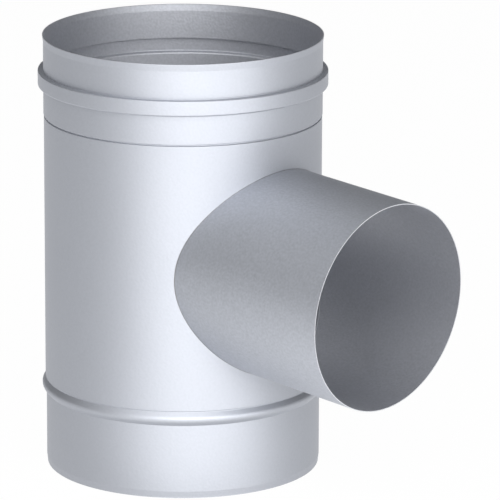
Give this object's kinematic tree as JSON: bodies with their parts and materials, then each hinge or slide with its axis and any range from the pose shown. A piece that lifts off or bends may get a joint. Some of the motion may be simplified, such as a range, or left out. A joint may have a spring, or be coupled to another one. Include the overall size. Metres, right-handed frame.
{
  "type": "duct tee",
  "caption": "Thin stainless flue tee: straight round tube with a spigot and stop bead below, a sealing-ring socket above and a plain side branch falling slightly outwards",
  "frame": {"origin": "middle of the spigot's lower end, on which the tee stands", "axes": "+Z along the main axis from spigot to socket, +X towards the side of the branch, which falls 3 degrees as it goes out, +Y across"},
  "size_m": [0.3145, 0.2106, 0.3205],
  "materials": {
    "stainless_sheet": "satin stainless sheet, cold rolled, with a fine even grain"
  },
  "bodies": {
    "root": {"spigot_ring": "stainless_sheet", "barrel": "stainless_sheet", "socket_collar": "stainless_sheet", "branch_stub": "stainless_sheet"}
  },
  "joints": []
}
